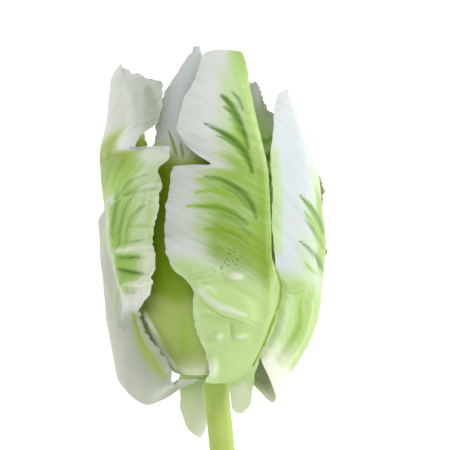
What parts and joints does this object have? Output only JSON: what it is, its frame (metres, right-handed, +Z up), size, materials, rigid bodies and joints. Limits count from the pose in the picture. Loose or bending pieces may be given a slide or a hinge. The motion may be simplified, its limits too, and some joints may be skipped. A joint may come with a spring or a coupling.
{
  "type": "parrot tulip",
  "caption": "Cut parrot tulip with white and green, lobed and ruffled tepals on a bare stalk, lying on its back on a level surface.",
  "frame": {"origin": "the middle of the small flat spot under the bloom, where the lying flower rests on the surface", "axes": "+Y along the lying flower from the cut end of the stalk towards the tips of the tepals, +Z up from the surface, so the flower's front faces +Z, and +X to the right seen from above with the bloom at the top"},
  "size_m": [0.0617, 0.2761, 0.0588],
  "materials": {
    "stalk": "smooth light green plant skin with a faint waxy sheen",
    "outer_tepal": "soft white petal with green feathering and fine veins, slightly see-through",
    "inner_tepal": "soft white petal with a green base and fine veins, slightly see-through",
    "pistil": "matt pale green ovary with a cream stigma",
    "stamens": "pale filaments with powdery yellow anthers"
  },
  "bodies": {
    "root": {"stem": "stalk", "outer_tepal_front": "outer_tepal", "outer_tepal_left": "outer_tepal", "outer_tepal_back": "outer_tepal", "inner_tepal_right": "inner_tepal", "inner_tepal_front": "inner_tepal", "inner_tepal_back": "inner_tepal", "pistil": "pistil", "stamens": "stamens"}
  },
  "joints": []
}
